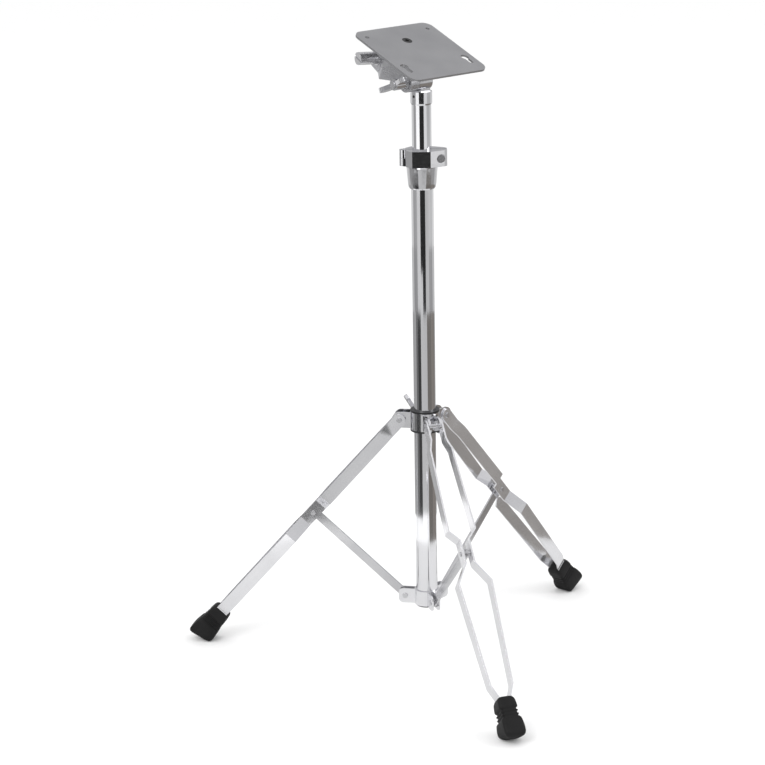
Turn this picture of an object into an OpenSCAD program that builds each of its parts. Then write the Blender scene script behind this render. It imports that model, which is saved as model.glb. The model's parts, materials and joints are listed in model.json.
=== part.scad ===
// Double-braced tripod stand with a height-adjustable tube and a tilting mounting plate
// for a practice or percussion pad. Millimetres, +Z up, floor at z = 0.

/* [Tubes] */
// Outer diameter of the lower tube
lower_tube_d = 25.4; // [25:0.1:26]
// Outer diameter of the upper tube
upper_tube_d = 22.2; // [22:0.1:22.4]
// Wall thickness of both tubes
tube_wall = 1.2; // [1:0.1:1.3]
// Height of the lower tube's bottom end above the floor
tube_bottom = 63; // [61:1:65]
// Height of the lower end of the tube clamp housing
housing_bottom = 566; // [520:1:620]
// Length of upper tube inside the lower tube at its lowest setting
insertion = 340; // [200:5:400]

/* [Legs] */
// Distance from the tube axis to the pivots on the sliding collar
collar_pivot_r = 28.7; // [28:0.1:30]
// Height of the pivots on the sliding collar
collar_pivot_z = 291.3; // [286:0.1:296]
// Distance from the tube axis to the pivots on the bottom bracket
bracket_pivot_r = 25.4; // [25:0.1:27]
// Height of the pivots on the bottom bracket
bracket_pivot_z = 72.5; // [71:0.1:73]
// Distance from the tube axis to the pivots between legs and braces
brace_pivot_r = 135; // [130:1:140]
// Height of the pivots between legs and braces
brace_pivot_z = 170.8; // [168:0.1:175]
// Width of the flat leg straps
strap_w = 15; // [14:0.5:16]
// Thickness of the flat leg straps
strap_t = 2; // [1.8:0.1:2.2]
// Width of the flat braces
brace_w = 10; // [9:0.5:10.5]

/* [Feet] */
// Length of the rubber boots along the leg
boot_len = 46; // [43:1:50]
// Half width of the boots near the floor
boot_half = 13; // [12:0.5:14]
// Half depth of the boots near the floor, across the leg
boot_deep = 15.5; // [15:0.5:16.5]

/* [Plate] */
// Side of the square mounting plate
plate_side = 112; // [108:1:120]
// Thickness of the mounting plate
plate_t = 2.5; // [2:0.5:3]
// Radius of the plate's corners
plate_corner_r = 11; // [8:1:14]
// Tilt of the plate from horizontal
plate_tilt = 22; // [15:1:26]
// Compass direction of the tilt hinge
hinge_heading = 22; // [0:1:40]
// Height of the tilt hinge above the floor
hinge_z = 689; // [687:1:697]

/* [Hidden] */

$fn = 48;
lower_r = lower_tube_d / 2;
upper_r = upper_tube_d / 2;
run = 0.05;                 // radial clearance of running fits
face_gap = 0.15;            // clearance between faces that move past each other
rivet_r = 2.4;
small_rivet_r = 2;
brace_t = 2.2;
spacer_r = 4;               // outer radius of the spacers beside the braces
fork_half = 4.4;            // half the gap between a leg's straps at the brace
bracket_fork = 3.2;         // half the gap between a bracket fork's ears
sheet_t = 1.6;
ear_in = 5.2;               // inner and outer faces of the collar's ears
ear_out = 7.8;
bush_r = 14.2;              // outer radius of both nylon bushes
thread_r = 3;               // radius of the two clamp bolts
clamp_bolt_x = 28;          // height clamp bolt, behind the tube axis
clamp_lug_half = 5;

// Leg and brace geometry, in the vertical plane of one leg
leg_angle = atan2(collar_pivot_z - brace_pivot_z, brace_pivot_r - collar_pivot_r);
brace_angle = atan2(brace_pivot_z - bracket_pivot_z, brace_pivot_r - bracket_pivot_r);
pivot_run = norm([brace_pivot_r - collar_pivot_r, collar_pivot_z - brace_pivot_z]);
brace_len = norm([brace_pivot_r - bracket_pivot_r, brace_pivot_z - bracket_pivot_z]);
sole_lean = 0.25;           // slope of the sole, which reaches further down its outer side
sole_flat = 12.5;           // the sole is flat this far each side of the leg's middle
leg_len = (collar_pivot_z - sole_flat * cos(leg_angle)) / sin(leg_angle) + sole_lean * sole_flat;
boot_start = leg_len - boot_len;
strap_end = leg_len - 10;
boot_rivet_s = leg_len - 30;
boot_toe = [leg_len + 2.4, boot_deep - 1.4];   // a boot's outermost corner

// The tube axis sits behind the origin, so that the origin is under the middle of the stand
foot_reach = collar_pivot_r + boot_toe[0] * cos(leg_angle) + boot_toe[1] * sin(leg_angle);
axis_y = (foot_reach * (1 - sin(30)) - (boot_half - 2) * cos(30)) / 2;

// Headings of the three legs, counter-clockwise from +X
FRONT = -90;
RIGHT = 30;
LEFT = 150;
wing_heading = 90;          // collar wing bolt, opposite the front leg
clamp_heading = 72;         // height clamp, at the back
lock_heading = -18;         // memory lock: its key bolt's lug points this way
pin_heading = 117;          // the tilter's roll pin lies across this direction

// Heights up the tube
collar_h = 21;
rim_h = 2.2;
collar_z = collar_pivot_z - 10.6;
housing_top = housing_bottom + 26;
tube_top = housing_bottom + 10;
lock_z = housing_top + face_gap;
lock_h = 18.5;
upper_bottom = tube_top - insertion;
sleeve_z = hinge_z - 27;
sleeve_r = upper_r + 1.2;
upper_top = hinge_z - 13;
bracket_h = 18;

// Tilter and plate, along the hinge (u), down the plate (v) and off the plate (n)
hinge_v = 12.5;             // hinge axis from the plate's middle, down the slope
hinge_n = -31;              // hinge axis from the plate's top face
disc_r = 11;
disc_w = 13;
split_u = -11;              // where the tilt hinge's two halves meet
base_right = 8;             // right face of the fixed half
nut_seat = split_u - disc_w - 2.7;   // where the wing nut sits on its spring washer
wing_turn = 45;             // turn of the wing nut
hole_v = -24.5;             // the plate's fixing hole, up the slope
bolt_r = 4;

chrome = [0.82, 0.82, 0.84];
satin = [0.62, 0.62, 0.64];
black = [0.1, 0.1, 0.1];

// ---- shared shapes ----

// Everything is drawn round the tube axis and moved to it once
module on_tube() {
    translate([0, axis_y, 0]) children();
}

// x runs down the leg from the collar pivot, z across the strap, y sideways
module leg_frame(heading) {
    on_tube() rotate([0, 0, heading]) translate([collar_pivot_r, 0, collar_pivot_z])
        rotate([0, leg_angle, 0]) children();
}

// x runs up the brace from the bracket pivot
module brace_frame(heading) {
    on_tube() rotate([0, 0, heading]) translate([bracket_pivot_r, 0, bracket_pivot_z])
        rotate([0, -brace_angle, 0]) children();
}

// x along the hinge, y down the plate, z off the plate; origin on the hinge axis
module tilt_frame() {
    on_tube() translate([0, 0, hinge_z]) rotate([0, 0, hinge_heading])
        rotate([plate_tilt, 0, 0]) mirror([0, 1, 0]) children();
}

// Origin at the middle of the plate's top face
module plate_frame() {
    tilt_frame() translate([0, -hinge_v, -hinge_n]) children();
}

module tube_piece(z0, z1, r_out, r_in) {
    translate([0, 0, z0]) difference() {
        cylinder(h = z1 - z0, r = r_out);
        translate([0, 0, -1]) cylinder(h = z1 - z0 + 2, r = r_in);
    }
}

// The children and their mirror image across the xz plane
module both_sides() {
    children();
    mirror([0, 1, 0]) children();
}

// A cylinder along y
module cross_bar(r, y0, y1) {
    translate([0, y1, 0]) rotate([90, 0, 0]) cylinder(h = y1 - y0, r = r);
}

// A rivet along y, with a low round head at each end
module rivet(r, half, head_r, head_t) {
    cross_bar(r, -half, half);
    both_sides() cross_bar(head_r, half, half + head_t);
}

// Two wings with round lobes on a hub, axis along +z from the seat at z = 0
module wing_grip(hub_r, hub_h, reach, sweep, wing_t, lobe_r) {
    lobe_x = reach - lobe_r;
    cylinder(h = hub_h, r = hub_r);
    rotate([90, 0, 0]) linear_extrude(wing_t, center = true)
        for (s = [-1, 1]) {
            polygon([[0, 1], [s * hub_r, 1], [s * (lobe_x + 0.4 * lobe_r), sweep - 0.78 * lobe_r],
                [s * (lobe_x - 0.48 * lobe_r), sweep + 0.85 * lobe_r], [0, hub_h]]);
            translate([s * lobe_x, sweep]) circle(lobe_r, $fn = 40);
        }
}

// ---- tube, bracket and height clamp ----

module lower_tube() {
    color(chrome) on_tube() tube_piece(tube_bottom, tube_top, lower_r, lower_r - tube_wall);
}

module tube_end_plug() {
    color(black) on_tube() translate([0, 0, tube_bottom]) {
        cylinder(h = 12, r = lower_r - tube_wall);
        translate([0, 0, -1.5]) cylinder(h = 1.5, r = lower_r);
    }
}

module bracket_ear() {
    rotate([90, 0, 0]) linear_extrude(sheet_t) difference() {
        union() {
            translate([12.9, -bracket_h / 2 + 0.2]) square([15.1, bracket_h - 0.4]);
            translate([27, -bracket_h / 2 + 5.2]) square([6, bracket_h - 10.4]);
            for (s = [-1, 1]) translate([28, s * (bracket_h / 2 - 5.2)]) circle(5);
        }
        translate([bracket_pivot_r, 0]) circle(rivet_r);
    }
}

// Three bent plates round the tube, their ends forming a fork for each brace
module bottom_bracket() {
    color(chrome) on_tube() translate([0, 0, bracket_pivot_z]) {
        difference() {
            cylinder(h = bracket_h, r = lower_r + sheet_t + 0.4, center = true);
            cylinder(h = bracket_h + 2, r = lower_r, center = true);
        }
        for (a = [FRONT, RIGHT, LEFT]) rotate([0, 0, a]) {
            translate([0, -bracket_fork, 0]) bracket_ear();
            translate([0, bracket_fork + sheet_t, 0]) bracket_ear();
        }
    }
}

module bracket_rivets() {
    color(satin) for (a = [FRONT, RIGHT, LEFT]) on_tube() rotate([0, 0, a])
        translate([bracket_pivot_r, 0, bracket_pivot_z])
            rivet(rivet_r, bracket_fork + sheet_t, 3.2, 0.9);
}

module clamp_lug_outline() {
    translate([12, housing_bottom + 8.5]) square([clamp_bolt_x - 12, 15]);
    translate([clamp_bolt_x, housing_bottom + 16]) circle(7.5);
}

module clamp_housing() {
    color(chrome) on_tube() difference() {
        union() {
            rotate_extrude() polygon([[lower_r, housing_bottom], [bush_r, housing_bottom],
                [15.4, housing_bottom + 1.6], [16.2, housing_bottom + 6], [17.8, housing_top - 1],
                [17.2, housing_top], [upper_r + 0.4, housing_top], [upper_r + 0.4, tube_top],
                [lower_r, tube_top]]);
            rotate([0, 0, clamp_heading]) rotate([90, 0, 0])
                linear_extrude(2 * clamp_lug_half, center = true) clamp_lug_outline();
        }
        translate([0, 0, tube_top]) cylinder(h = 14, r = bush_r);
        translate([0, 0, housing_bottom - 1]) cylinder(h = 40, r = upper_r + 0.4);
        translate([0, 0, housing_bottom - 1]) cylinder(h = tube_top - housing_bottom + 1, r = lower_r);
        rotate([0, 0, clamp_heading]) translate([10, -1.2, housing_bottom + 6])
            cube([30, 2.4, 30]);
        rotate([0, 0, clamp_heading]) translate([clamp_bolt_x, 0, housing_bottom + 16])
            cross_bar(thread_r + run, -20, 20);
    }
}

module clamp_bush() {
    color(black) on_tube() difference() {
        tube_piece(tube_top, tube_top + 14, bush_r, upper_r + 0.08);
        rotate([0, 0, clamp_heading]) translate([8, -1, tube_top - 1]) cube([12, 2, 20]);
    }
}

module height_clamp_bolt() {
    color(satin) on_tube() rotate([0, 0, clamp_heading])
        translate([clamp_bolt_x, 0, housing_bottom + 16]) {
            cross_bar(thread_r, -clamp_lug_half, clamp_lug_half + 8);
            cross_bar(5.2, -clamp_lug_half - 3.5, -clamp_lug_half);
        }
}

module height_wing_nut() {
    color(chrome) on_tube() rotate([0, 0, clamp_heading])
        translate([clamp_bolt_x, clamp_lug_half + face_gap, housing_bottom + 16])
            rotate([-90, 0, 0]) difference() {
                rotate([0, 0, 90]) wing_grip(5.6, 7, 13, 5, 3, 4.2);
                translate([0, 0, -1]) cylinder(h = 30, r = thread_r + run);
            }
}

// ---- sliding collar ----

module collar_ear() {
    rotate([90, 0, 0]) linear_extrude(ear_out - ear_in) difference() {
        union() {
            translate([14, -9.3]) square([collar_pivot_r - 14, 18.6]);
            translate([collar_pivot_r, 0]) circle(9.3);
        }
        translate([collar_pivot_r, 0]) circle(rivet_r);
    }
}

module leg_collar() {
    color(chrome) on_tube() difference() {
        union() {
            translate([0, 0, collar_z]) cylinder(h = collar_h, r = 17.2);
            for (a = [FRONT, RIGHT, LEFT]) rotate([0, 0, a]) translate([0, 0, collar_pivot_z]) {
                translate([0, -ear_in, 0]) collar_ear();
                translate([0, ear_out, 0]) collar_ear();
            }
            rotate([0, 0, wing_heading]) translate([14, 0, collar_pivot_z])
                rotate([0, 90, 0]) cylinder(h = 11, r = 7.5);
        }
        translate([0, 0, collar_z - 1]) cylinder(h = collar_h + 2, r = bush_r);
        rotate([0, 0, wing_heading]) translate([10, 0, collar_pivot_z])
            rotate([0, 90, 0]) cylinder(h = 20, r = thread_r + run);
    }
}

// Nylon bush with a rim above and below the collar
module collar_bush() {
    color(black) on_tube() difference() {
        union() {
            translate([0, 0, collar_z - rim_h]) cylinder(h = collar_h + 2 * rim_h, r = bush_r);
            translate([0, 0, collar_z - rim_h]) cylinder(h = rim_h, r = 17);
            translate([0, 0, collar_z + collar_h]) cylinder(h = rim_h, r = 17);
        }
        translate([0, 0, collar_z - 10]) cylinder(h = collar_h + 20, r = lower_r + 0.08);
        rotate([0, 0, wing_heading]) translate([10, 0, collar_pivot_z])
            rotate([0, 90, 0]) cylinder(h = 20, r = thread_r + run);
    }
}

module collar_rivets() {
    color(satin) for (a = [FRONT, RIGHT, LEFT]) on_tube() rotate([0, 0, a])
        translate([collar_pivot_r, 0, collar_pivot_z])
            rivet(rivet_r, ear_out + strap_t + 2 * face_gap, 3.2, 0.9);
}

module collar_wing_bolt() {
    color(chrome) on_tube() rotate([0, 0, wing_heading]) {
        translate([lower_r + 0.3, 0, collar_pivot_z]) rotate([0, 90, 0]) cylinder(h = 16, r = thread_r);
        translate([27, 0, collar_pivot_z]) rotate([0, 90, 0]) rotate([0, 0, 152])
            wing_grip(6, 10, 22.5, 11, 4, 5.4);
    }
}

// ---- legs, braces and feet ----

strap_y = ear_out + face_gap + strap_t / 2;
pinch_y = fork_half + strap_t / 2;
boot_y = 7;

// Sideways position of a strap's middle along the leg
strap_path = [
    [-strap_w / 2, strap_y], [20, strap_y], [33, strap_y + 4], [134, 16],
    [146, pinch_y], [pivot_run + 14, pinch_y], [pivot_run + 37, 19.5],
    [boot_start - 14, 13], [boot_start, boot_y], [strap_end, boot_y]
];

module leg_strap(heading, side) {
    inner = [for (p = strap_path) [p[0], p[1] - strap_t / 2]];
    outer = [for (i = [len(strap_path) - 1 : -1 : 0])
        [strap_path[i][0], strap_path[i][1] + strap_t / 2]];
    leg_frame(heading) mirror([0, side < 0 ? 1 : 0, 0]) difference() {
        intersection() {
            translate([0, 0, -strap_w / 2]) linear_extrude(strap_w) polygon(concat(inner, outer));
            rotate([90, 0, 0]) linear_extrude(80, center = true) {
                circle(strap_w / 2);
                translate([0, -strap_w / 2]) square([strap_end, strap_w]);
            }
        }
        cross_bar(rivet_r + run, 0, 30);
        translate([pivot_run, 0, 0]) cross_bar(small_rivet_r, 0, 30);
        translate([boot_rivet_s, 0, 0]) cross_bar(small_rivet_r, 0, 30);
    }
}

// A stub rivet on each strap at the brace pivot, and one rivet through the foot
module leg_rivets(heading) {
    stub_in = fork_half + face_gap;
    stub_out = fork_half + strap_t;
    leg_frame(heading) {
        translate([pivot_run, 0, 0]) both_sides() {
            cross_bar(small_rivet_r, stub_in, stub_out);
            cross_bar(2.8, stub_out, stub_out + 0.8);
        }
        translate([boot_rivet_s, 0, 0]) cross_bar(small_rivet_r, -boot_y - 1, boot_y + 1);
    }
}

// Rubber boot: deeper than wide, grooved on its sides, leaning sole, open slots for the straps
module boot(heading) {
    s0 = boot_start;
    side_half = [[s0, boot_half - 6], [s0 + 3, boot_half - 3.5], [s0 + 14, boot_half - 2],
        [s0 + 16, boot_half - 4.5], [s0 + 18, boot_half - 2.5], [s0 + 20, boot_half - 4.5],
        [s0 + 22, boot_half - 2], [s0 + 24, boot_half - 4], [s0 + 27, boot_half - 0.6],
        [leg_len - 6, boot_half], [leg_len + 1, boot_half - 1], [leg_len + 4, boot_half - 3]];
    other_side = [for (i = [len(side_half) - 1 : -1 : 0]) [side_half[i][0], -side_half[i][1]]];
    taper = [[s0, 8.4], [s0 + 3, 11], [s0 + 14, 12.2], [s0 + 27, 13.6]];
    sole = [[leg_len - 2, boot_deep], boot_toe, [leg_len + sole_lean * sole_flat, sole_flat],
        [leg_len - sole_lean * sole_flat, -sole_flat], [leg_len - 5, 0.9 - boot_deep],
        [leg_len - 8, -boot_deep]];
    taper_back = [for (i = [len(taper) - 1 : -1 : 0]) [taper[i][0], -taper[i][1]]];
    leg_frame(heading) difference() {
        intersection() {
            rotate([90, 0, 0]) linear_extrude(60, center = true)
                polygon(concat(taper, sole, taper_back));
            linear_extrude(60, center = true) polygon(concat(side_half, other_side));
        }
        both_sides() translate([s0 - 1, boot_y - strap_t / 2, -strap_w / 2])
            cube([strap_end - s0 + 1, strap_t, strap_w]);
        translate([boot_rivet_s, 0, 0]) cross_bar(small_rivet_r, -boot_y - 1, boot_y + 1);
    }
}

// Flat brace with round ends
module brace(heading) {
    brace_frame(heading) difference() {
        rotate([90, 0, 0]) linear_extrude(brace_t, center = true) {
            circle(brace_w / 2);
            translate([brace_len, 0]) circle(brace_w / 2);
            translate([0, -brace_w / 2]) square([brace_len, brace_w]);
        }
        cross_bar(rivet_r + run, -20, 20);
        translate([brace_len, 0, 0]) cross_bar(small_rivet_r + run, -20, 20);
    }
}

// Spacer rings beside both ends of a brace, and the middle of the rivet at its outer end
module brace_spacers(heading) {
    outer = fork_half - face_gap;
    brace_frame(heading) {
        both_sides() difference() {
            cross_bar(spacer_r, brace_t / 2, bracket_fork - face_gap);
            cross_bar(rivet_r + run, 0, 20);
        }
        translate([brace_len, 0, 0]) {
            cross_bar(small_rivet_r, -outer, outer);
            both_sides() difference() {
                cross_bar(spacer_r, brace_t / 2, outer);
                cross_bar(small_rivet_r + run, 0, 20);
            }
        }
    }
}

module front_strap_left() { color(chrome) leg_strap(FRONT, -1); }
module front_strap_right() { color(chrome) leg_strap(FRONT, 1); }
module front_leg_rivets() { color(satin) leg_rivets(FRONT); }
module front_foot() { color(black) boot(FRONT); }
module front_brace() { color(chrome) brace(FRONT); }
module front_brace_spacers() { color(satin) brace_spacers(FRONT); }
module right_strap_left() { color(chrome) leg_strap(RIGHT, -1); }
module right_strap_right() { color(chrome) leg_strap(RIGHT, 1); }
module right_leg_rivets() { color(satin) leg_rivets(RIGHT); }
module right_foot() { color(black) boot(RIGHT); }
module right_brace() { color(chrome) brace(RIGHT); }
module right_brace_spacers() { color(satin) brace_spacers(RIGHT); }
module left_strap_left() { color(chrome) leg_strap(LEFT, -1); }
module left_strap_right() { color(chrome) leg_strap(LEFT, 1); }
module left_leg_rivets() { color(satin) leg_rivets(LEFT); }
module left_foot() { color(black) boot(LEFT); }
module left_brace() { color(chrome) brace(LEFT); }
module left_brace_spacers() { color(satin) brace_spacers(LEFT); }

// ---- memory lock ----

lock_bolt_x = 21.5;
lock_head_y = -8.6;              // seat of the key bolt's head
lock_pin_x = -21;
lock_split = 0.6;

module lock_frame() {
    on_tube() rotate([0, 0, lock_heading]) translate([0, 0, lock_z]) children();
}

// Plan of the lock: flat front and back, flanks running in to the rounded bolt lug
module lock_plan() {
    flank = [[-18.5, 9], [-11.5, 17.3], [9.5, 17.3], [25.4, 9], [28.4, 5.5]];
    polygon(concat(flank, [for (i = [len(flank) - 1 : -1 : 0]) [flank[i][0], -flank[i][1]]]));
}

// One half of the hinged ring; side -1 is the half with the bolt head
module lock_half(side) {
    knuckle_z = side < 0 ? 0 : lock_h / 2 + face_gap / 2;
    knuckle_h = lock_h / 2 - face_gap / 2;
    difference() {
        union() {
            intersection() {
                linear_extrude(lock_h) lock_plan();
                translate([-18.5, side < 0 ? -30 : lock_split, -1])
                    cube([60, 30 - lock_split, lock_h + 2]);
            }
            translate([lock_pin_x, 0, knuckle_z]) cylinder(h = knuckle_h, r = 4.6);
            translate([lock_pin_x, side < 0 ? -6 : lock_split, knuckle_z])
                cube([8, 6 - lock_split, knuckle_h]);
        }
        translate([0, 0, -1]) cylinder(h = lock_h + 2, r = upper_r + run);
        translate([lock_pin_x, 0, -1]) cylinder(h = lock_h + 2, r = 2);
        translate([lock_bolt_x, 0, lock_h / 2]) cross_bar(thread_r, -20, 20);
        translate([lock_bolt_x, 0, lock_h / 2]) cross_bar(4.9, -20, lock_head_y);
        translate([lock_pin_x, 0, side < 0 ? lock_h / 2 - face_gap / 2 : -1])
            cylinder(h = lock_h / 2 + 1 + face_gap, r = 5);
    }
}

module memory_lock_front() { color(chrome) lock_frame() lock_half(-1); }
module memory_lock_rear() { color(chrome) lock_frame() lock_half(1); }

module memory_lock_hinge_pin() {
    color(satin) lock_frame() translate([lock_pin_x, 0, 0.3]) cylinder(h = lock_h - 0.6, r = 2);
}

// Round-headed key bolt through both halves
module memory_lock_key_bolt() {
    color(satin) lock_frame() translate([lock_bolt_x, 0, lock_h / 2]) {
        cross_bar(thread_r, lock_head_y, 10);
        cross_bar(4.6, lock_head_y - 3.2, lock_head_y);
    }
}

// ---- upper tube and tilter ----

module upper_tube() {
    color(chrome) on_tube() difference() {
        tube_piece(upper_bottom, upper_top, upper_r, upper_r - tube_wall);
        rotate([0, 0, pin_heading]) translate([0, 0, sleeve_z + 10]) cross_bar(1.6, -20, 20);
    }
}

module upper_tube_guide() {
    color(black) on_tube() {
        tube_piece(upper_bottom, upper_bottom + 14, upper_r - tube_wall, 7);
        tube_piece(upper_bottom - 3, upper_bottom, upper_r + 0.2, 7);
    }
}

module tilter_roll_pin() {
    color(black) on_tube() rotate([0, 0, pin_heading]) translate([0, 0, sleeve_z + 10])
        cross_bar(1.6, -sleeve_r - 0.3, sleeve_r + 0.3);
}

// Socket on the upper tube with the fixed half of the toothed tilt hinge
module tilter_base() {
    color(chrome) difference() {
        union() {
            on_tube() translate([0, 0, sleeve_z]) {
                cylinder(h = 2, r1 = upper_r + 0.1, r2 = sleeve_r);
                translate([0, 0, 2]) cylinder(h = hinge_z - disc_r - 3 - sleeve_z, r = sleeve_r);
            }
            on_tube() rotate([0, 0, hinge_heading])
                translate([1 - base_right, -7.5, sleeve_z + 12])
                    cube([2 * base_right - 2, 15, hinge_z - sleeve_z - 14]);
            tilt_frame() translate([split_u + face_gap / 2, 0, 0]) rotate([0, 90, 0])
                cylinder(h = base_right - split_u, r = disc_r);
        }
        on_tube() translate([0, 0, sleeve_z - 1]) cylinder(h = upper_top - sleeve_z + 1, r = upper_r);
        on_tube() rotate([0, 0, pin_heading]) translate([0, 0, sleeve_z + 10]) cross_bar(1.6, -20, 20);
        tilt_frame() translate([-20, 0, 0]) rotate([0, 90, 0]) cylinder(h = 40, r = bolt_r);
    }
}

module tilter_bolt() {
    color(satin) tilt_frame() rotate([0, 90, 0]) {
        translate([0, 0, nut_seat - 16]) cylinder(h = base_right + 17 - nut_seat, r = bolt_r);
        translate([0, 0, base_right + face_gap / 2]) cylinder(h = 4.5, r = 7, $fn = 6);
    }
}

module tilter_spring_washer() {
    color(satin) tilt_frame() translate([nut_seat + face_gap, 0, 0]) rotate([0, 90, 0]) difference() {
        cylinder(h = 2.4, r = 8);
        translate([0, 0, -1]) cylinder(h = 5, r = bolt_r + 0.15);
    }
}

module tilter_wing_nut() {
    color(chrome) tilt_frame() translate([nut_seat, 0, 0]) rotate([0, -90, 0])
        difference() {
            rotate([0, 0, wing_turn]) wing_grip(6.6, 14, 26, 11, 5, 8);
            translate([0, 0, -1]) cylinder(h = 30, r = bolt_r + run);
        }
}

head_top = -hinge_n - plate_t;   // underside of the plate, from the hinge axis
barrel_heading = 10;             // turn of the barrel from the hinge direction
barrel_at = [-20.6, -56, 1];
barrel_r = 7.2;
barrel_len = 25.2;               // how far the barrel stands out of the head
barrel_washer_t = 1.5;

// Side outline of the moving half of the tilter, y down the slope, z off the plate
module head_side() {
    polygon([[-66, head_top], [-66, -10], [-63, -12.6], [-52, -13], [-36, -14], [-16, -6.6],
        [-8, -7], [2, 10.8], [-6, head_top]]);
    circle(disc_r);
}

// A point of the flat seat under the barrel, t along it from the barrel's axis
function barrel_seat(t) = [barrel_at[0] + t * sin(barrel_heading),
    barrel_at[1] - t * cos(barrel_heading)];

// Plan outline of the moving half, x along the hinge, y down the slope
module head_plan() {
    left = split_u - disc_w;
    right = split_u - face_gap / 2;
    polygon([[-30, -35], [left, -13], [left, 20], [right, 20], [right, -11.8], [16, -16],
        [16, -66], barrel_seat(9.5), barrel_seat(-9.5)]);
}

module barrel_frame() {
    tilt_frame() translate(barrel_at) rotate([0, 0, barrel_heading]) rotate([0, -90, 0]) children();
}

module tilter_head() {
    color(satin) difference() {
        tilt_frame() difference() {
            intersection() {
                rotate([90, 0, 90]) linear_extrude(80, center = true) head_side();
                translate([0, 0, -60]) linear_extrude(120) head_plan();
            }
            translate([-40, 0, 0]) rotate([0, 90, 0]) cylinder(h = 60, r = bolt_r + run);
            translate([0, hole_v - hinge_v, 10]) cylinder(h = 40, r = bolt_r);
        }
        barrel_frame() translate([0, 0, -14]) cylinder(h = 40, r = 4);
    }
}

// Long round nut with a screwdriver slot, standing out of the tilter's side
module lock_barrel() {
    color(satin) barrel_frame() difference() {
        union() {
            translate([0, 0, barrel_washer_t])
                cylinder(h = barrel_len - barrel_washer_t, r = barrel_r);
            translate([0, 0, -14]) cylinder(h = 17, r = 4);
        }
        translate([-1, -8, barrel_len - 1.5]) cube([2, 16, 4]);
    }
}

module barrel_washer() {
    color(chrome) barrel_frame() difference() {
        cylinder(h = barrel_washer_t, r = 8.5);
        translate([0, 0, -1]) cylinder(h = 4, r = 4);
    }
}

// Flat-headed screw with a hex socket, holding the plate
module plate_screw() {
    color(black) plate_frame() translate([0, hole_v, 0]) difference() {
        union() {
            translate([0, 0, -plate_t - 14]) cylinder(h = 15, r = bolt_r);
            translate([0, 0, -2.1]) cylinder(h = 2, r1 = bolt_r, r2 = 6);
        }
        translate([0, 0, -2]) cylinder(h = 4, r = 2.6, $fn = 6);
    }
}

corner_hole_u = 45;
corner_hole_v = 42;
corner_hole_r = 2.5;
keyhole_v = 25.5;
keyhole_r = 4.7;
keyslot_r = 2.7;
keyslot_end = 37;

module plate_outline() {
    half = plate_side / 2;
    inset = half - plate_corner_r;
    square([2 * inset, plate_side], center = true);
    square([plate_side, 2 * inset], center = true);
    for (x = [-1, 1], y = [-1, 1]) translate([x * inset, y * inset]) circle(plate_corner_r);
}

module pad_plate() {
    color(satin) plate_frame() difference() {
        translate([0, 0, -plate_t]) linear_extrude(plate_t) difference() {
            plate_outline();
            for (x = [-corner_hole_u, corner_hole_u]) {
                translate([x, -corner_hole_v]) circle(corner_hole_r);
                translate([x, keyhole_v]) circle(keyhole_r);
                translate([x, keyslot_end]) circle(keyslot_r);
                translate([x - keyslot_r, keyhole_v])
                    square([2 * keyslot_r, keyslot_end - keyhole_v]);
            }
            translate([0, hole_v]) circle(bolt_r);
        }
        translate([0, hole_v, -2.1]) cylinder(h = 2.2, r1 = bolt_r, r2 = 6.2);
    }
}

lower_tube();
tube_end_plug();
bottom_bracket();
bracket_rivets();
clamp_housing();
clamp_bush();
height_clamp_bolt();
height_wing_nut();
leg_collar();
collar_bush();
collar_rivets();
collar_wing_bolt();
front_strap_left();
front_strap_right();
front_leg_rivets();
front_foot();
front_brace();
front_brace_spacers();
right_strap_left();
right_strap_right();
right_leg_rivets();
right_foot();
right_brace();
right_brace_spacers();
left_strap_left();
left_strap_right();
left_leg_rivets();
left_foot();
left_brace();
left_brace_spacers();
memory_lock_front();
memory_lock_rear();
memory_lock_hinge_pin();
memory_lock_key_bolt();
upper_tube();
upper_tube_guide();
tilter_base();
tilter_roll_pin();
tilter_bolt();
tilter_wing_nut();
tilter_head();
tilter_spring_washer();
lock_barrel();
barrel_washer();
plate_screw();
pad_plate();
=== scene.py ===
"""Looks of the practice pad stand: chrome tubes and straps, rubber boots, satin plate."""
import json
import math

import bmesh
import bpy
from mathutils import Matrix, Vector


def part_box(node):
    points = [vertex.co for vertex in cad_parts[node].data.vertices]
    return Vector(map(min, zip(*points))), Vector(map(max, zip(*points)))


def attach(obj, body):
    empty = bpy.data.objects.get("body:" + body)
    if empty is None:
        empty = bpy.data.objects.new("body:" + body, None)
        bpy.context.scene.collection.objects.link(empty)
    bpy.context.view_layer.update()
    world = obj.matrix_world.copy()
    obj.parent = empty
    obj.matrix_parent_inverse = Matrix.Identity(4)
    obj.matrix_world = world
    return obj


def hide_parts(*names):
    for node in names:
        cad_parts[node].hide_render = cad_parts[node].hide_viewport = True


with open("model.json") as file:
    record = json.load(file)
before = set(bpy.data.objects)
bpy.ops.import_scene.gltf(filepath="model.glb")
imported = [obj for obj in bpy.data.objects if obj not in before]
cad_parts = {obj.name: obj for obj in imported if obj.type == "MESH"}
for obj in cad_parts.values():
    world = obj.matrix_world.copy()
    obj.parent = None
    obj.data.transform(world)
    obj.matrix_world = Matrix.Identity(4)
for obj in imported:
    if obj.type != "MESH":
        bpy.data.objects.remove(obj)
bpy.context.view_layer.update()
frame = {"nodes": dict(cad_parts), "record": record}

nodes = frame["nodes"]
LEGS = ("front", "right", "left")
BRACES = [leg + "_brace" for leg in LEGS]
MM = 0.001

# ---- camera ----

VIEW_HEADING = math.radians(71.65)      # where the camera looks, anticlockwise from the x axis
VIEW_PITCH = math.radians(16.28)        # looking down
VIEW_ROLL = math.radians(-0.93)
CAMERA_PLACE = Vector((-0.9637, -2.6823, 1.1876))
LENS_MM = 123.2
SENSOR_MM = 36
CLIP_END = 50                           # metres: past the far edge of the floor


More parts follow.
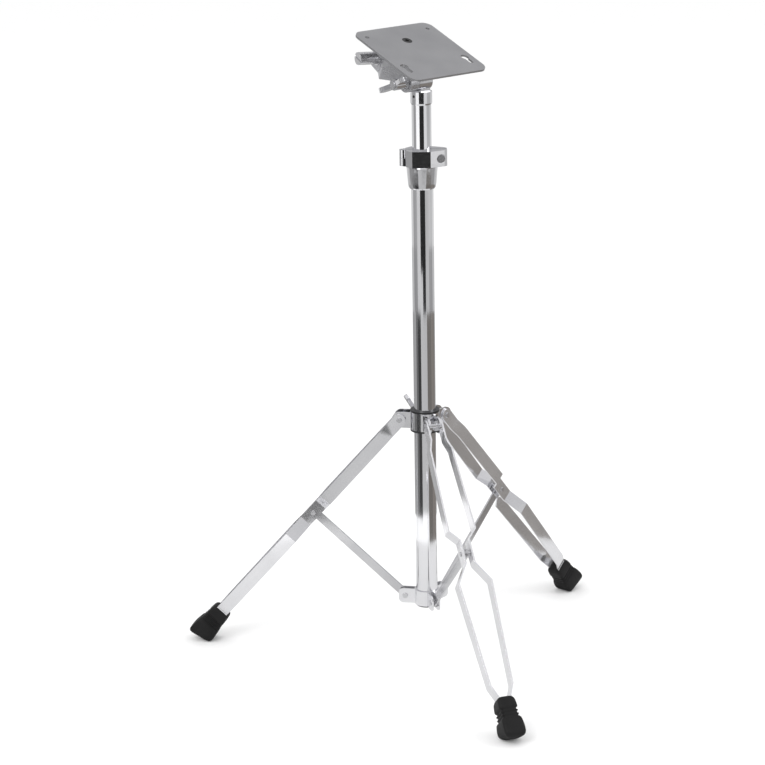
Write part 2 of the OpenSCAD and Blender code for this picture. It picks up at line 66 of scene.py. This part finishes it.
def add_camera():
    forward = Vector((math.cos(VIEW_HEADING) * math.cos(VIEW_PITCH),
                      math.sin(VIEW_HEADING) * math.cos(VIEW_PITCH),
                      -math.sin(VIEW_PITCH)))
    level = forward.cross(Vector((0, 0, 1))).normalized()
    upright = level.cross(forward)
    right = level * math.cos(VIEW_ROLL) + upright * math.sin(VIEW_ROLL)
    up = upright * math.cos(VIEW_ROLL) - level * math.sin(VIEW_ROLL)
    data = bpy.data.cameras.new("camera")
    data.lens = LENS_MM
    data.sensor_width = SENSOR_MM
    data.clip_end = CLIP_END
    camera = bpy.data.objects.new("camera", data)
    bpy.context.scene.collection.objects.link(camera)
    axes = Matrix((right, up, -forward)).transposed().to_4x4()
    camera.matrix_world = Matrix.Translation(CAMERA_PLACE) @ axes
    bpy.context.scene.camera = camera


add_camera()

# ---- materials ----

# Noise values lie mostly between these two, so tones and roughness are spread over that range
NOISE_LOW, NOISE_HIGH = 0.3, 0.7


class Shader:
    """A node tree with short calls for adding and joining nodes."""

    def __init__(self, name):
        self.material = bpy.data.materials.new(name)
        self.material.use_nodes = True
        self.tree = self.material.node_tree
        self.bsdf = self.tree.nodes["Principled BSDF"]

    def add(self, kind, **values):
        made = self.tree.nodes.new(kind)
        for key, value in values.items():
            setattr(made, key, value)
        return made

    def join(self, source, target):
        self.tree.links.new(source, target)

    def place(self, scale):
        """Object coordinates, in metres, multiplied by scale."""
        coords = self.add("ShaderNodeTexCoord")
        mapping = self.add("ShaderNodeMapping")
        mapping.inputs["Scale"].default_value = scale
        self.join(coords.outputs["Object"], mapping.inputs["Vector"])
        return mapping.outputs["Vector"]

    def noise(self, scale, detail, stretch=(1, 1, 1)):
        made = self.add("ShaderNodeTexNoise")
        made.inputs["Scale"].default_value = scale
        made.inputs["Detail"].default_value = detail
        self.join(self.place(stretch), made.inputs["Vector"])
        return made.outputs["Fac"]

    def ramp(self, source, low, high):
        """A number from low to high over the noise's usual range."""
        made = self.add("ShaderNodeMapRange")
        made.inputs["From Min"].default_value = NOISE_LOW
        made.inputs["From Max"].default_value = NOISE_HIGH
        made.inputs["To Min"].default_value = low
        made.inputs["To Max"].default_value = high
        self.join(source, made.inputs["Value"])
        return made.outputs["Result"]

    def tones(self, source, dark, light):
        """A colour from dark to light over the noise's usual range."""
        made = self.add("ShaderNodeMix", data_type="RGBA")
        made.inputs["A"].default_value = (*dark, 1)
        made.inputs["B"].default_value = (*light, 1)
        self.join(self.ramp(source, 0, 1), made.inputs["Factor"])
        return made.outputs["Result"]

    def bump(self, source, height, strength, after=None):
        """Bumps of a height in metres, on top of the bumps in after."""
        made = self.add("ShaderNodeBump")
        made.inputs["Distance"].default_value = height
        made.inputs["Strength"].default_value = strength
        self.join(source, made.inputs["Height"])
        if after is not None:
            self.join(after, made.inputs["Normal"])
        return made.outputs["Normal"]

    def finish(self, color, rough, metal, normal=None, specular=None):
        self.join(color, self.bsdf.inputs["Base Color"])
        self.join(rough, self.bsdf.inputs["Roughness"])
        self.bsdf.inputs["Metallic"].default_value = metal
        if normal is not None:
            self.join(normal, self.bsdf.inputs["Normal"])
        if specular is not None:
            self.bsdf.inputs["Specular IOR Level"].default_value = specular
        return self.material


def chrome_tube():
    s = Shader("chrome_tube")
    smudge = s.noise(scale=14, detail=4, stretch=(1, 1, 0.25))
    ripple = s.noise(scale=60, detail=2, stretch=(1, 1, 0.06))
    return s.finish(color=s.tones(smudge, dark=(0.80, 0.80, 0.82), light=(0.86, 0.86, 0.88)),
                    rough=s.ramp(smudge, low=0.035, high=0.075),
                    metal=1,
                    normal=s.bump(ripple, height=0.02 * MM, strength=0.4))


def chrome_casting():
    s = Shader("chrome_casting")
    smudge = s.noise(scale=40, detail=4)
    waves = s.noise(scale=160, detail=2)
    return s.finish(color=s.tones(smudge, dark=(0.76, 0.76, 0.78), light=(0.83, 0.83, 0.85)),
                    rough=s.ramp(smudge, low=0.06, high=0.14),
                    metal=1,
                    normal=s.bump(waves, height=0.08 * MM, strength=0.5))


def pressed_chrome(name, dark, light, smoothest, roughest):
    """Chrome on pressed strip, which is a little uneven."""
    s = Shader(name)
    smudge = s.noise(scale=22, detail=4)
    pressing = s.noise(scale=90, detail=3)
    return s.finish(color=s.tones(smudge, dark, light),
                    rough=s.ramp(smudge, smoothest, roughest),
                    metal=0.87,
                    normal=s.bump(pressing, height=0.06 * MM, strength=0.5))


def chrome_strap():
    return pressed_chrome("chrome_strap", dark=(0.76, 0.76, 0.78), light=(0.84, 0.84, 0.86),
                          smoothest=0.07, roughest=0.15)


def chrome_brace():
    """The straps' chrome, a tone darker, for the thinner braces."""
    return pressed_chrome("chrome_brace", dark=(0.54, 0.54, 0.555), light=(0.62, 0.62, 0.635),
                          smoothest=0.09, roughest=0.17)


def steel_fastener():
    s = Shader("steel_fastener")
    wear = s.noise(scale=90, detail=4)
    return s.finish(color=s.tones(wear, dark=(0.56, 0.56, 0.57), light=(0.68, 0.68, 0.70)),
                    rough=s.ramp(wear, low=0.2, high=0.3),
                    metal=0.9,
                    normal=s.bump(wear, height=0.02 * MM, strength=0.3))


def satin_plate():
    s = Shader("satin_plate")
    cloud = s.noise(scale=18, detail=3)
    grain = s.noise(scale=2600, detail=2)
    return s.finish(color=s.tones(cloud, dark=(0.34, 0.34, 0.352), light=(0.39, 0.39, 0.40)),
                    rough=s.ramp(grain, low=0.42, high=0.56),
                    metal=0.85,
                    normal=s.bump(grain, height=0.04 * MM, strength=0.35))


def grey_casting():
    s = Shader("grey_casting")
    cloud = s.noise(scale=70, detail=4)
    grain = s.noise(scale=1500, detail=3)
    return s.finish(color=s.tones(cloud, dark=(0.46, 0.46, 0.48), light=(0.58, 0.58, 0.60)),
                    rough=s.ramp(cloud, low=0.22, high=0.34),
                    metal=0.8,
                    normal=s.bump(grain, height=0.04 * MM, strength=0.4))


def black_nylon():
    s = Shader("black_nylon")
    grain = s.noise(scale=900, detail=3)
    return s.finish(color=s.tones(grain, dark=(0.008, 0.008, 0.009), light=(0.016, 0.016, 0.017)),
                    rough=s.ramp(grain, low=0.32, high=0.45),
                    metal=0,
                    normal=s.bump(grain, height=0.03 * MM, strength=0.3))


def black_rubber():
    s = Shader("black_rubber")
    cloud = s.noise(scale=60, detail=4)
    grain = s.noise(scale=1400, detail=3)
    soft = s.bump(s.noise(scale=120, detail=3), height=0.3 * MM, strength=0.35)
    return s.finish(color=s.tones(cloud, dark=(0.004, 0.004, 0.004), light=(0.008, 0.0078, 0.008)),
                    rough=s.ramp(grain, low=0.48, high=0.68),
                    metal=0,
                    normal=s.bump(grain, height=0.08 * MM, strength=0.5, after=soft),
                    specular=0.28)


def black_steel():
    s = Shader("black_steel")
    wear = s.noise(scale=400, detail=3)
    return s.finish(color=s.tones(wear, dark=(0.01, 0.01, 0.01), light=(0.03, 0.03, 0.03)),
                    rough=s.ramp(wear, low=0.3, high=0.45),
                    metal=0.4)


MATERIALS = {make.__name__: make() for make in (
    chrome_tube, chrome_casting, chrome_strap, chrome_brace, steel_fastener, satin_plate,
    grey_casting, black_nylon, black_rubber, black_steel)}

# ---- CAD nodes ----

# How far the edges of a node are rounded, in millimetres, where it isn't the usual amount
USUAL_EDGE = 0.3
EDGE_MM = {"pad_plate": 0.5, "tilter_head": 1.6, "memory_lock_front": 1.4, "memory_lock_rear": 1.4,
           "tilter_base": 0.8, "clamp_housing": 0.7, "leg_collar": 0.6, "tilter_wing_nut": 1.2,
           "height_wing_nut": 0.9, "collar_wing_bolt": 1.0, "bracket_rivets": 0.6,
           "collar_rivets": 0.6, "lock_barrel": 0.7}
EDGE_SEGMENTS = 3
SHARPEST_LEFT = math.radians(21)        # an edge that turns less than this isn't rounded
FLAT_WITHIN = math.radians(0.5)         # faces that turn less than this are one flat
WELD_WITHIN = 0.02 * MM                 # points closer than this are joined


def round_edges(piece, width):
    """Join the mesh's loose faces, take the triangles out of its flats and round its edges."""
    weld = piece.modifiers.new("weld", "WELD")
    weld.merge_threshold = WELD_WITHIN
    flats = piece.modifiers.new("flats", "DECIMATE")
    flats.decimate_type = "DISSOLVE"
    flats.angle_limit = FLAT_WITHIN
    bevel = piece.modifiers.new("round", "BEVEL")
    bevel.width = width
    bevel.segments = EDGE_SEGMENTS
    bevel.limit_method = "ANGLE"
    bevel.angle_limit = SHARPEST_LEFT
    smooth_faces(piece.data)
    normals = piece.modifiers.new("normals", "WEIGHTED_NORMAL")
    normals.keep_sharp = False


def smooth_faces(mesh):
    mesh.polygons.foreach_set("use_smooth", [True] * len(mesh.polygons))


def clothe_cad_nodes():
    """Give each CAD node the material of its slot, smooth faces and slightly rounded edges.

    The braces share the straps' slot, but have a darker material of their own.
    """
    for entry in frame["record"]["subparts"]:
        name = entry["node"]
        piece = nodes[name]
        look = "chrome_brace" if name in BRACES else entry["material_slot"]
        piece.data.materials.clear()
        piece.data.materials.append(MATERIALS[look])
        round_edges(piece, EDGE_MM.get(name, USUAL_EDGE) * MM)


clothe_cad_nodes()

# ---- rubber boots ----

# Profile of a boot, in millimetres: how far down it, its half depth there and its half width
BOOT_PROFILE = (
    (0, 6.4, 5.6), (0.3, 8.2, 7.2), (1.4, 9.8, 8.6), (4, 11.2, 10.0), (6, 11.6, 10.4),
    (13, 12.2, 11.0), (14, 12.1, 10.8), (14.8, 11.9, 9.9), (15.6, 11.7, 8.7), (16.8, 11.7, 8.7),
    (17.5, 12.0, 9.7), (18.3, 12.5, 10.6), (19.1, 12.2, 9.7), (19.8, 12.0, 8.7), (21, 12.1, 8.7),
    (21.7, 12.4, 9.7), (22.5, 12.9, 10.6), (23.3, 12.6, 9.7), (24, 12.5, 8.9), (25, 12.9, 9.1),
    (26.4, 13.5, 11.2), (28, 13.9, 12.0), (36, 15.0, 12.8), (41, 15.2, 12.5), (43.6, 14.4, 11.7),
    (45.4, 12.9, 10.2), (46.6, 10.4, 8.0), (47.4, 7.0, 5.6), (47.7, 3.6, 3.0))
BOOT_CORNER = 3.4            # radius of the boot's long edges, in millimetres
CORNER_STEPS = 5             # faces round each of those edges
MOST_CORNER = 0.9            # the most of a ring's half width that its corners take up
SOLE_FROM = 26               # where the sole starts to lean, in millimetres down the boot
SOLE_LEAN = 0.25             # how far down the leg the sole leans for each millimetre outward
RIVET_REACH = 5 * MM         # the boot's rivet lies within this of the leg's outermost rivet point


def corner_ring(half_a, half_b):
    """Points round a rectangle with rounded corners."""
    corner = min(BOOT_CORNER, half_a * MOST_CORNER, half_b * MOST_CORNER)
    ring = []
    for quarter, (sign_a, sign_b) in enumerate(((1, 1), (-1, 1), (-1, -1), (1, -1))):
        for k in range(CORNER_STEPS + 1):
            turn = math.radians(90 * quarter + 90 * k / CORNER_STEPS)
            ring.append((sign_a * (half_a - corner) + corner * math.cos(turn),
                         sign_b * (half_b - corner) + corner * math.sin(turn)))
    return ring


def leg_axes(leg):
    """The leg's collar pivot, its direction down the leg, and its outward and sideways axes."""
    joint = next(j for j in frame["record"]["behaviour"]["joints"]
                 if j["name"] == "leg_fold_" + leg)
    pivot, side = Vector(joint["pos_m"]), Vector(joint["axis"])
    outward = side.cross(Vector((0, 0, 1)))
    points = [v.co for v in nodes[leg + "_leg_rivets"].data.vertices]
    reach = max(p.dot(outward) for p in points)
    outermost = [p for p in points if p.dot(outward) > reach - RIVET_REACH]
    centre = sum(outermost, Vector()) / len(outermost)
    down = centre - pivot
    down -= side * down.dot(side)
    down.normalize()
    return pivot, down, down.cross(side).normalized(), side


def boot_mesh(leg):
    """The boot's profile swept down the leg and stood on the same floor as the CAD boot."""
    pivot, down, outer, side = leg_axes(leg)
    foot = [v.co for v in nodes[leg + "_foot"].data.vertices]
    start = min((p - pivot).dot(down) for p in foot)
    length = BOOT_PROFILE[-1][0]
    verts, faces = [], []
    for along, deep, wide in BOOT_PROFILE:
        lean = SOLE_LEAN * max(0, along - SOLE_FROM) / (length - SOLE_FROM)
        for a, b in corner_ring(deep, wide):
            verts.append(pivot + down * (start + (along + lean * a) * MM)
                         + (outer * a + side * b) * MM)
    count = len(verts) // len(BOOT_PROFILE)
    for row in range(len(BOOT_PROFILE) - 1):
        for k in range(count):
            first, second = row * count + k, row * count + (k + 1) % count
            faces.append((first, second, second + count, first + count))
    faces.append(tuple(range(count))[::-1])
    faces.append(tuple(range((len(BOOT_PROFILE) - 1) * count, len(verts))))
    lift = min(p.z for p in foot) - min(v.z for v in verts)
    mesh = bpy.data.meshes.new(leg + "_boot")
    mesh.from_pydata([v + Vector((0, 0, lift)) for v in verts], [], faces)
    fix_normals(mesh)
    smooth_faces(mesh)
    return mesh


def fix_normals(mesh):
    work = bmesh.new()
    work.from_mesh(mesh)
    bmesh.ops.recalc_face_normals(work, faces=work.faces)
    work.to_mesh(mesh)
    work.free()


def add_boot(leg):
    mesh = boot_mesh(leg)
    mesh.materials.append(MATERIALS["black_rubber"])
    boot = bpy.data.objects.new(leg + "_boot", mesh)
    bpy.context.scene.collection.objects.link(boot)
    soften = boot.modifiers.new("soften", "SUBSURF")
    soften.levels = soften.render_levels = 1
    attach(boot, "leg_" + leg)
    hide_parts(leg + "_foot")


for leg in LEGS:
    add_boot(leg)

# ---- stage ----

STAGE_ROUGH = 0.9
STAGE_SPECULAR = 0.1
STAGE_HALF = 12              # half the floor's side, in metres
PATCH_HEIGHT = 3 * MM        # how far the patches lie above the floor
PATCH_STEP = 6               # about one straight edge for each of this many degrees
TUBE_AXIS = (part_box("lower_tube")[0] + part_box("lower_tube")[1]) / 2
TOWARD_CAMERA = VIEW_HEADING + math.pi


def grey(value):
    return (value, value, value)


def stage_material(name, color):
    made = bpy.data.materials.new(name)
    made.use_nodes = True
    shader = made.node_tree.nodes["Principled BSDF"]
    shader.inputs["Base Color"].default_value = (*color, 1)
    shader.inputs["Roughness"].default_value = STAGE_ROUGH
    shader.inputs["Specular IOR Level"].default_value = STAGE_SPECULAR
    return made


def add_stage_piece(name, corners, color, only_reflected=False):
    mesh = bpy.data.meshes.new(name)
    mesh.from_pydata(corners, [], [tuple(range(len(corners)))])
    mesh.materials.append(stage_material(name, color))
    piece = bpy.data.objects.new(name, mesh)
    bpy.context.scene.collection.objects.link(piece)
    if only_reflected:
        piece.visible_camera = False
        piece.visible_diffuse = False
        piece.visible_shadow = False


def add_patch(name, tone, bearings, reach):
    """Part of a ring on the floor round the stand, seen only in reflections.

    Bearings are in degrees from the camera's side, positive to the camera's right, and reach is
    the ring's inner and outer radius in metres.
    """
    first, last = bearings
    inner, outer = reach
    steps = max(2, round((last - first) / PATCH_STEP))
    turns = [TOWARD_CAMERA + math.radians(first + (last - first) * k / steps)
             for k in range(steps + 1)]
    ring = [(TUBE_AXIS.x + r * math.cos(a), TUBE_AXIS.y + r * math.sin(a), PATCH_HEIGHT)
            for r, row in ((inner, turns), (outer, turns[::-1])) for a in row]
    add_stage_piece(name, ring, tone, only_reflected=True)


# The room as the chrome sees it: name, tone, bearings and reach of each patch
ROOM = (
    ("under", grey(0.66), (0, 360), (0.0, 0.40)),
    ("near_front", grey(0.40), (-33, 32), (0.52, 1.6)),
    ("near_left", grey(0.03), (-66, -33), (0.50, 1.6)),
    ("near_left_side", grey(0.11), (-90, -66), (0.50, 1.6)),
    ("near_right", (0.125, 0.115, 0.105), (32, 78), (0.40, 1.6)),
    ("near_right_side", (0.17, 0.155, 0.14), (78, 135), (0.40, 1.6)),
    ("near_back", grey(0.30), (135, 270), (0.50, 1.6)),
    ("middle_front", grey(0.015), (-5, 25), (1.6, 1.9)),
    ("middle_left", grey(0.46), (-62, -5), (1.6, 1.9)),
    ("outer_left", grey(0.46), (-62, -26), (1.9, 2.75)),
    ("middle_left_side", grey(0.24), (-110, -62), (1.6, 2.1)),
    ("middle_right", grey(0.40), (25, 62), (1.6, 1.9)),
    ("outer_right", grey(0.40), (26, 62), (1.9, 2.75)),
    ("middle_right_side", grey(0.25), (62, 110), (1.6, 2.1)),
    ("middle_back", grey(0.45), (110, 250), (1.6, 2.1)),
    ("far_front", grey(0.01), (-26, 26), (1.9, 9)),
    ("far_front_left", grey(0.90), (-62, -26), (2.75, 9)),
    ("far_front_right", grey(0.66), (26, 62), (2.75, 9)),
    ("far_left", grey(0.30), (-112, -62), (2.1, 9)),
    ("far_right", grey(0.42), (62, 112), (2.1, 9)),
    ("far_back", grey(0.6), (112, 248), (2.1, 9)),
)


def add_stage():
    corners = [(STAGE_HALF * x, STAGE_HALF * y, 0) for x, y in ((-1, -1), (1, -1), (1, 1), (-1, 1))]
    add_stage_piece("floor", corners, grey(0.9))
    for patch in ROOM:
        add_patch(*patch)


# ---- light ----

LIT_POINT = Vector((0, 0, 0.4))
# Name, place, width and height in metres, and power in watts of each light
LIGHTS = (
    ("key", (-2.2, -1.6, 2.6), (1.6, 1.6), 35),
    ("fill", (2.4, -1.2, 1.6), (1.4, 1.8), 15),
)
WORLD_STRENGTH = 1.1
WALL_LOW = (0.30, 0.30, 0.31)       # the room's tone in reflections, at the horizon
WALL_HIGH = (0.75, 0.75, 0.76)      # and overhead
WALL_HIGH_FROM = 0.8                # overhead starts at this sine of the height above the horizon


def add_area(name, place, size, power):
    data = bpy.data.lights.new(name, "AREA")
    data.shape = "RECTANGLE"
    data.size, data.size_y = size
    data.energy = power
    light = bpy.data.objects.new(name, data)
    light.location = place
    light.rotation_euler = (LIT_POINT - Vector(place)).to_track_quat("-Z", "Y").to_euler()
    bpy.context.scene.collection.objects.link(light)


def add_world():
    """White light for the object's surfaces, and a greyer room in its reflections."""
    world = bpy.data.worlds.new("studio")
    world.use_nodes = True
    tree = world.node_tree
    background = tree.nodes["Background"]
    background.inputs["Strength"].default_value = WORLD_STRENGTH
    coords = tree.nodes.new("ShaderNodeTexCoord")
    height = tree.nodes.new("ShaderNodeSeparateXYZ")
    wall = tree.nodes.new("ShaderNodeValToRGB")
    path = tree.nodes.new("ShaderNodeLightPath")
    choice = tree.nodes.new("ShaderNodeMix")
    choice.data_type = "RGBA"
    low, high = wall.color_ramp.elements
    low.color = (*WALL_LOW, 1)
    high.color = (*WALL_HIGH, 1)
    high.position = WALL_HIGH_FROM
    choice.inputs["A"].default_value = (*grey(1), 1)
    tree.links.new(coords.outputs["Generated"], height.inputs["Vector"])
    tree.links.new(height.outputs["Z"], wall.inputs["Fac"])
    tree.links.new(path.outputs["Is Glossy Ray"], choice.inputs["Factor"])
    tree.links.new(wall.outputs["Color"], choice.inputs["B"])
    tree.links.new(choice.outputs["Result"], background.inputs["Color"])
    bpy.context.scene.world = world


add_stage()
add_world()
for light in LIGHTS:
    add_area(*light)
bpy.context.scene.view_settings.view_transform = "Standard"
